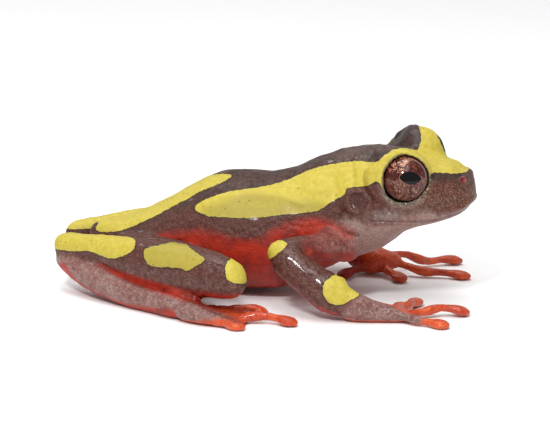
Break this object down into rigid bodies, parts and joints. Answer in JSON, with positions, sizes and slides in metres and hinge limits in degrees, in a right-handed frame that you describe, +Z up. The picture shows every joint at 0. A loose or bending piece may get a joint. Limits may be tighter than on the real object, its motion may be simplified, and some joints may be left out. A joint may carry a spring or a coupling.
{
  "type": "clown tree frog model",
  "caption": "Life-size still model of a clown tree frog at rest, legs folded, yellow stripes on maroon, red belly and toes.",
  "frame": {"origin": "on the floor, under the middle of the bounding box", "axes": "+X towards the snout, +Y towards the frog's left, +Z up"},
  "size_m": [0.0374, 0.0302, 0.0146],
  "materials": {
    "back_skin": "wet maroon-brown skin with yellow stripes",
    "belly_skin": "wet skin, maroon above and red below",
    "red_skin": "wet orange-red skin",
    "eye": "glossy coppery brown eye with a black pupil"
  },
  "bodies": {
    "root": {"torso": "belly_skin", "head": "back_skin", "eye_right": "eye", "eye_left": "eye", "upper_arm_right": "back_skin", "forearm_right": "back_skin", "hand_right": "red_skin", "thigh_right": "back_skin", "shank_right": "back_skin", "tarsus_right": "back_skin", "foot_right": "red_skin", "upper_arm_left": "back_skin", "forearm_left": "back_skin", "hand_left": "red_skin", "thigh_left": "back_skin", "shank_left": "back_skin", "tarsus_left": "back_skin", "foot_left": "red_skin"}
  },
  "joints": []
}
